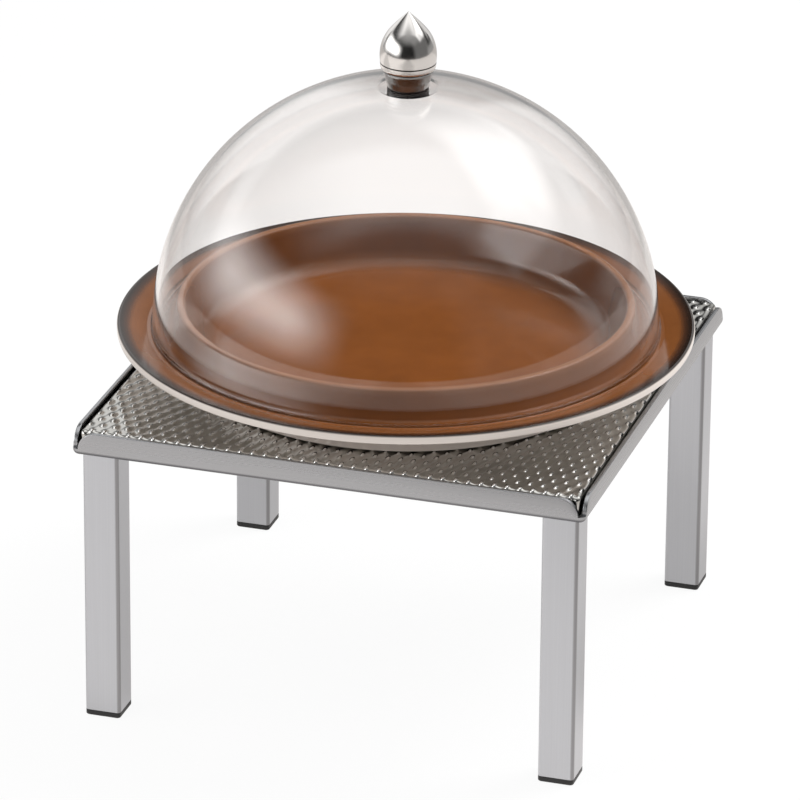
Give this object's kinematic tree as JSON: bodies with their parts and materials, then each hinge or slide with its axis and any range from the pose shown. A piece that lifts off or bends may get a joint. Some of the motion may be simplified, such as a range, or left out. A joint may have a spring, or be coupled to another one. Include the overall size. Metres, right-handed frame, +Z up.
{
  "type": "covered buffet dish on a riser stand",
  "caption": "Clear dome cover with a chrome drop knob over a round glazed dish, standing on a square steel riser with an embossed top and tube legs.",
  "frame": {"origin": "on the floor under the middle of the stand", "axes": "+Z up, +X to the right along the front rail, +Y to the back"},
  "size_m": [0.3368, 0.3368, 0.4014],
  "materials": {
    "clear_shell": "clear moulded plastic",
    "knob_chrome": "polished",
    "gasket_rubber": "matt",
    "screw_steel": "plain",
    "dish_glaze": "brown glaze, cream outside",
    "sheet_steel": "embossed, bright",
    "rail_steel": "satin",
    "leg_steel": "satin",
    "foot_plastic": "moulded",
    "bracket_steel": "plain folded sheet"
  },
  "bodies": {
    "stand": {"top_sheet": "sheet_steel", "rail_front": "rail_steel", "rail_right": "rail_steel", "rail_back": "rail_steel", "rail_left": "rail_steel", "leg_front_left": "leg_steel", "leg_front_right": "leg_steel", "leg_back_left": "leg_steel", "leg_back_right": "leg_steel", "foot_front_left": "foot_plastic", "foot_front_right": "foot_plastic", "foot_back_left": "foot_plastic", "foot_back_right": "foot_plastic", "bracket_front_left": "bracket_steel", "bracket_front_right": "bracket_steel", "bracket_back_left": "bracket_steel", "bracket_back_right": "bracket_steel", "leg_screws": "screw_steel"},
    "dish": {"dish": "dish_glaze"},
    "cover": {"dome": "clear_shell", "knob_drop": "knob_chrome", "knob_cup": "knob_chrome", "knob_gasket": "gasket_rubber", "inner_washer": "gasket_rubber", "knob_screw": "screw_steel"}
  },
  "joints": [
    {"name": "dish_lift", "type": "slide", "parent": "stand", "child": "dish", "axis": [0, 0, 1], "range_m": [0, 0.12]},
    {"name": "cover_lift", "type": "slide", "parent": "dish", "child": "cover", "axis": [0, 0, 1], "range_m": [0, 0.25]}
  ]
}
